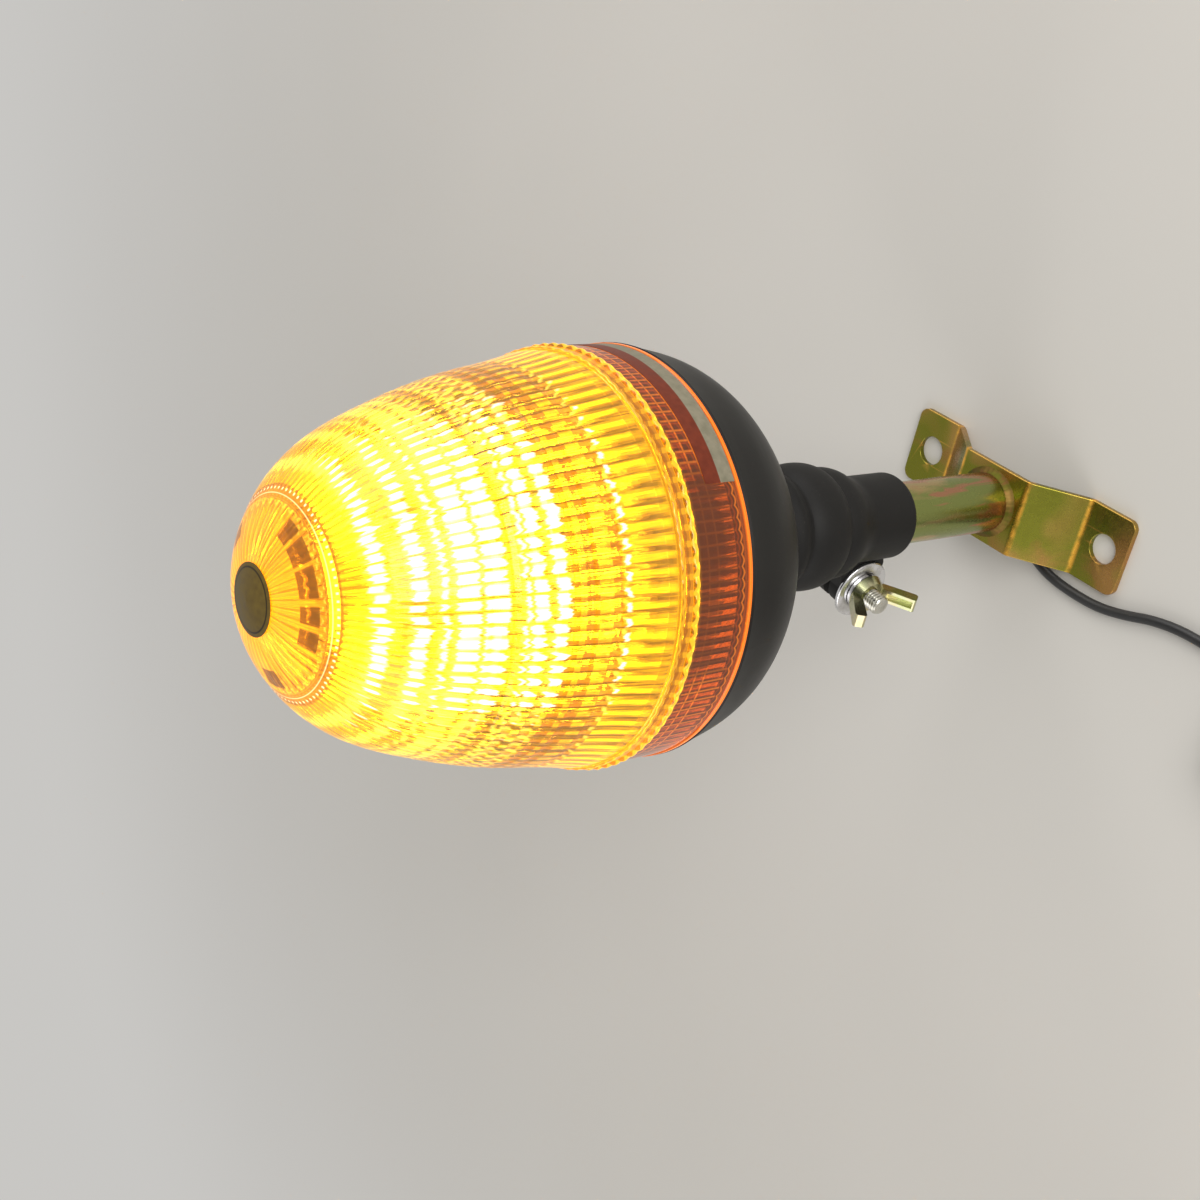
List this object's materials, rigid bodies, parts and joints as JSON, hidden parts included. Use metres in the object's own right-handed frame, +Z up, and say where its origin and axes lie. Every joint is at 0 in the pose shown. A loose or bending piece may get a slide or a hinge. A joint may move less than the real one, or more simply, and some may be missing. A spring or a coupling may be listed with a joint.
{
  "type": "beacon light",
  "caption": "Amber domed warning beacon with fluted lens on a flexible neck, clamped by a wing nut to a spigot pole welded on a hat-shaped foot bracket, with a coiled lead.",
  "frame": {"origin": "centre of the foot bracket's footprint, on the underside of its two flanges, on the pole's axis", "axes": "+Z up the pole to the tip of the lens, +X along the bracket strip, +Y square to both"},
  "size_m": [0.2525, 0.1526, 0.3453],
  "materials": {
    "yellow_zinc": "steel with iridescent yellow zinc plating",
    "bright_zinc": "steel with bright zinc plating",
    "black_plastic": "moulded black plastic, fine matte texture",
    "black_rubber": "moulded black rubber",
    "amber_lens": "clear amber moulded plastic, fluted inside",
    "cable_sheath": "black round cable sheath",
    "cable_tie": "black nylon tie",
    "core_insulation": "coloured core insulation",
    "tinned_copper": "tinned copper strands",
    "natural_nylon": "natural nylon",
    "spring_steel": "spring steel wire",
    "brass_contact": "plain brass",
    "circuit_board": "green solder mask",
    "white_board": "white solder mask",
    "component_black": "electronic components",
    "anodised_aluminium": "clear anodised aluminium",
    "led_phosphor": "yellow phosphor in a white frame",
    "white_plastic": "white moulded plastic",
    "wire_insulation": "thin wire insulation",
    "label_film": "blank two-tone film",
    "disc_film": "blank dark film"
  },
  "bodies": {
    "mount": {"bracket": "yellow_zinc", "pole_tube": "yellow_zinc", "weld_bead": "yellow_zinc", "cable_grommet": "black_rubber", "pole_lead": "cable_sheath", "supply_cord": "cable_sheath", "cord_coil": "cable_sheath", "cord_tail": "cable_sheath", "core_wires": "core_insulation", "core_ends": "tinned_copper", "coil_tie": "cable_tie", "contact_insulator": "natural_nylon", "contact_spring": "spring_steel"},
    "plunger": {"contact_plunger": "brass_contact"},
    "clamp": {"clamp_sleeve": "black_plastic", "earth_strip": "brass_contact", "clamp_bolt": "bright_zinc", "contact_carrier": "natural_nylon", "contact_plate": "brass_contact", "flex_neck": "black_rubber"},
    "washers": {"flat_washer": "bright_zinc", "spring_washer": "bright_zinc"},
    "nut": {"wing_nut": "yellow_zinc"},
    "head": {"base_dish": "black_plastic", "lens_gasket": "black_rubber", "neck_clamp_ring": "bright_zinc", "neck_screws": "bright_zinc", "chassis": "black_plastic", "chassis_screws": "bright_zinc", "driver_board": "circuit_board", "board_screws": "bright_zinc", "driver_parts": "component_black", "led_heatsink": "anodised_aluminium", "tower_screws": "bright_zinc", "led_side_boards": "white_board", "led_top_board": "white_board", "led_side_chips": "led_phosphor", "led_top_chips": "led_phosphor", "tower_cap_ring": "white_plastic", "neck_wires": "wire_insulation", "tower_wires": "wire_insulation"},
    "lens": {"lens": "amber_lens", "band_label": "label_film", "tip_disc": "disc_film"}
  },
  "joints": [
    {"name": "contact_press", "type": "slide", "parent": "mount", "child": "plunger", "axis": [0, 0, -1], "range_m": [0, 0.003], "stiffness_N_per_m": 400, "springref_m": -0.002, "deforming": ["contact_spring"]},
    {"name": "head_slide", "type": "slide", "parent": "mount", "child": "clamp", "axis": [0, 0, 1], "range_m": [0, 0.06]},
    {"name": "neck_flex", "type": "hinge", "parent": "clamp", "child": "head", "pos_m": [0, 0, 0.1482], "axis": [0, 1, 0], "range_deg": [-25, 25], "stiffness_Nm_per_rad": 16, "deforming": ["flex_neck", "neck_wires"]},
    {"name": "lens_twist", "type": "hinge", "parent": "head", "child": "lens", "pos_m": [0, 0, 0.2106], "axis": [0, 0, 1], "range_deg": [0, 20]},
    {"name": "wing_nut_turn", "type": "hinge", "parent": "washers", "child": "nut", "pos_m": [-0.00309, -0.02672, 0.0862], "axis": [0.9934, -0.1149, 0], "range_deg": [0, 1080]},
    {"name": "washer_slide", "type": "slide", "parent": "clamp", "child": "washers", "axis": [0.9934, -0.1149, 0], "range_m": [0, 0.00374]}
  ],
  "couplings": [
    {"joint": "wing_nut_turn", "follows": "washer_slide", "rad_per_m": 5026.5}
  ]
}
